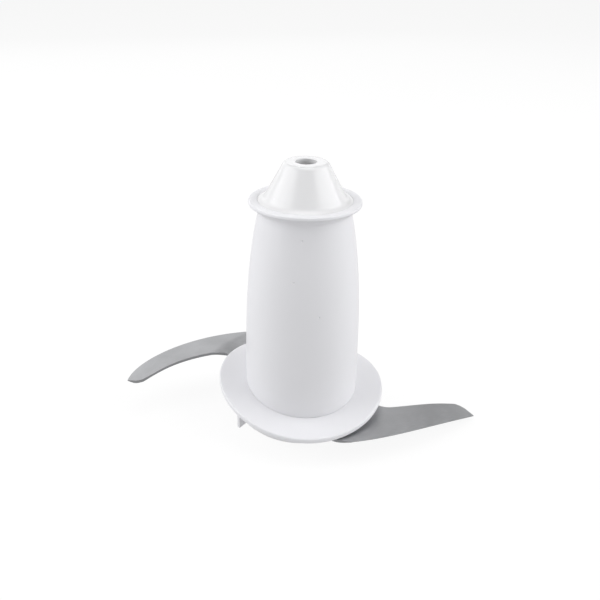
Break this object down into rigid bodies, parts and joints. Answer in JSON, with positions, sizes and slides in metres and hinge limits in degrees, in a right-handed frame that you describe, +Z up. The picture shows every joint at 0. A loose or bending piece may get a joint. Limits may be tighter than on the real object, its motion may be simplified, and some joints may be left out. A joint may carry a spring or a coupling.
{
  "type": "food processor chopping blade",
  "caption": "Chopping-blade insert: tall white hub with a collar and a conical cap, above a slanted round flange and curved steel blades at staggered heights.",
  "frame": {"origin": "on the turning axis, in the plane of the bottom face that the insert stands on", "axes": "+Z up along the turning axis, towards the cap; +X along the span of the blades, towards the tip of the lower blade; -Y towards the side the insert is usually looked at from"},
  "size_m": [0.1698, 0.0799, 0.129],
  "materials": {
    "hub_plastic": "satin moulded white, fine surface grain",
    "cap_plastic": "glossy moulded white",
    "carrier_plastic": "matte moulded white",
    "core_plastic": "matte moulded white",
    "drive_plastic": "matte moulded light grey",
    "blade_steel": "satin, finely ground along the blade",
    "rivet_steel": "plain drawn wire"
  },
  "bodies": {
    "root": {"hub_sleeve": "hub_plastic", "cone_cap": "cap_plastic", "slanted_flange": "hub_plastic", "blade_carrier": "carrier_plastic", "base_ring": "carrier_plastic", "core_tube": "core_plastic", "drive_socket": "drive_plastic", "lower_blade": "blade_steel", "upper_blade": "blade_steel", "blade_rivet_1": "rivet_steel", "blade_rivet_2": "rivet_steel", "blade_rivet_3": "rivet_steel", "blade_rivet_4": "rivet_steel"}
  },
  "joints": []
}
